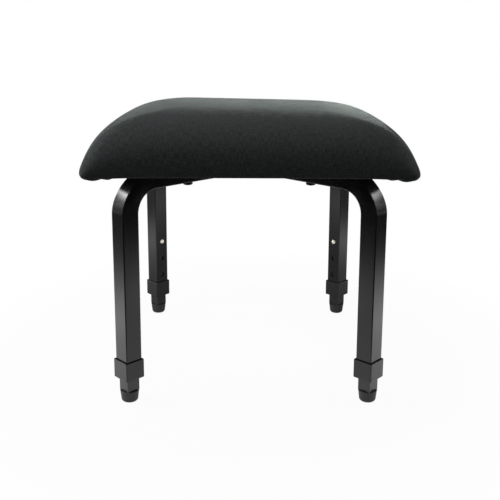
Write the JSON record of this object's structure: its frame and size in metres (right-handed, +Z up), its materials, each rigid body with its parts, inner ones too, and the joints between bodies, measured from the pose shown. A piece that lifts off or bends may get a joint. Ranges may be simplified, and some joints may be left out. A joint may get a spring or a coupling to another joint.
{
  "type": "musicians stool",
  "caption": "Low padded square stool on two crossed bent tubes, with telescoping legs, snap buttons and round rubber feet.",
  "frame": {"origin": "on the floor, below the middle of the seat", "axes": "+Z up, -Y to the front (the side that the picture shows), +X to the sitter's left when facing -Y"},
  "size_m": [0.4244, 0.4244, 0.4035],
  "materials": {
    "cover_fabric": "black woven cloth",
    "foam": "open-cell foam",
    "plywood": "raw",
    "dust_cloth": "non-woven",
    "frame_steel": "satin black",
    "inner_leg_steel": "satin black",
    "collar_plastic": "moulded black",
    "guide_plastic": "moulded black",
    "foot_rubber": "matt",
    "bolt_steel": "black oxide",
    "zinc_steel": "zinc plate",
    "spring_steel": "plain",
    "button_nickel": "nickel plate"
  },
  "bodies": {
    "root": {"seat_cover": "cover_fabric", "seat_foam": "foam", "seat_board": "plywood", "dust_cover": "dust_cloth", "frame_tube_long": "frame_steel", "frame_tube_front_right": "frame_steel", "frame_tube_rear_left": "frame_steel", "weld_bead_front_right": "frame_steel", "weld_bead_rear_left": "frame_steel", "leg_collar_fl": "collar_plastic", "seat_bolt_fl": "bolt_steel", "seat_washer_fl": "bolt_steel", "tee_nut_fl": "zinc_steel", "leg_collar_fr": "collar_plastic", "seat_bolt_fr": "bolt_steel", "seat_washer_fr": "bolt_steel", "tee_nut_fr": "zinc_steel", "leg_collar_rl": "collar_plastic", "seat_bolt_rl": "bolt_steel", "seat_washer_rl": "bolt_steel", "tee_nut_rl": "zinc_steel", "leg_collar_rr": "collar_plastic", "seat_bolt_rr": "bolt_steel", "seat_washer_rr": "bolt_steel", "tee_nut_rr": "zinc_steel"},
    "leg_fl": {"inner_leg_fl": "inner_leg_steel", "inner_leg_guide_fl": "guide_plastic", "rubber_foot_fl": "foot_rubber", "snap_spring_fl": "spring_steel"},
    "button_fl": {"snap_button_fl": "button_nickel"},
    "leg_fr": {"inner_leg_fr": "inner_leg_steel", "inner_leg_guide_fr": "guide_plastic", "rubber_foot_fr": "foot_rubber", "snap_spring_fr": "spring_steel"},
    "button_fr": {"snap_button_fr": "button_nickel"},
    "leg_rl": {"inner_leg_rl": "inner_leg_steel", "inner_leg_guide_rl": "guide_plastic", "rubber_foot_rl": "foot_rubber", "snap_spring_rl": "spring_steel"},
    "button_rl": {"snap_button_rl": "button_nickel"},
    "leg_rr": {"inner_leg_rr": "inner_leg_steel", "inner_leg_guide_rr": "guide_plastic", "rubber_foot_rr": "foot_rubber", "snap_spring_rr": "spring_steel"},
    "button_rr": {"snap_button_rr": "button_nickel"}
  },
  "joints": [
    {"name": "leg_fl_extend", "type": "slide", "parent": "root", "child": "leg_fl", "axis": [-0.0185, -0.0185, -0.9997], "range_m": [0, 0.064], "deforming": ["snap_button_fl"]},
    {"name": "leg_fr_extend", "type": "slide", "parent": "root", "child": "leg_fr", "axis": [0.0185, -0.0185, -0.9997], "range_m": [0, 0.064], "deforming": ["snap_button_fr"]},
    {"name": "leg_rl_extend", "type": "slide", "parent": "root", "child": "leg_rl", "axis": [-0.0185, 0.0185, -0.9997], "range_m": [0, 0.064], "deforming": ["snap_button_rl"]},
    {"name": "leg_rr_extend", "type": "slide", "parent": "root", "child": "leg_rr", "axis": [0.0185, 0.0185, -0.9997], "range_m": [0, 0.064], "deforming": ["snap_button_rr"]},
    {"name": "button_fl_press", "type": "slide", "parent": "leg_fl", "child": "button_fl", "axis": [-0.7069, -0.7069, 0.0262], "range_m": [0, 0.0052], "stiffness_N_per_m": 1500, "springref_m": -0.003, "deforming": ["snap_spring_fl"]},
    {"name": "button_fr_press", "type": "slide", "parent": "leg_fr", "child": "button_fr", "axis": [0.7069, -0.7069, 0.0262], "range_m": [0, 0.0052], "stiffness_N_per_m": 1500, "springref_m": -0.003, "deforming": ["snap_spring_fr"]},
    {"name": "button_rl_press", "type": "slide", "parent": "leg_rl", "child": "button_rl", "axis": [-0.7069, 0.7069, 0.0262], "range_m": [0, 0.0052], "stiffness_N_per_m": 1500, "springref_m": -0.003, "deforming": ["snap_spring_rl"]},
    {"name": "button_rr_press", "type": "slide", "parent": "leg_rr", "child": "button_rr", "axis": [0.7069, 0.7069, 0.0262], "range_m": [0, 0.0052], "stiffness_N_per_m": 1500, "springref_m": -0.003, "deforming": ["snap_spring_rr"]}
  ]
}
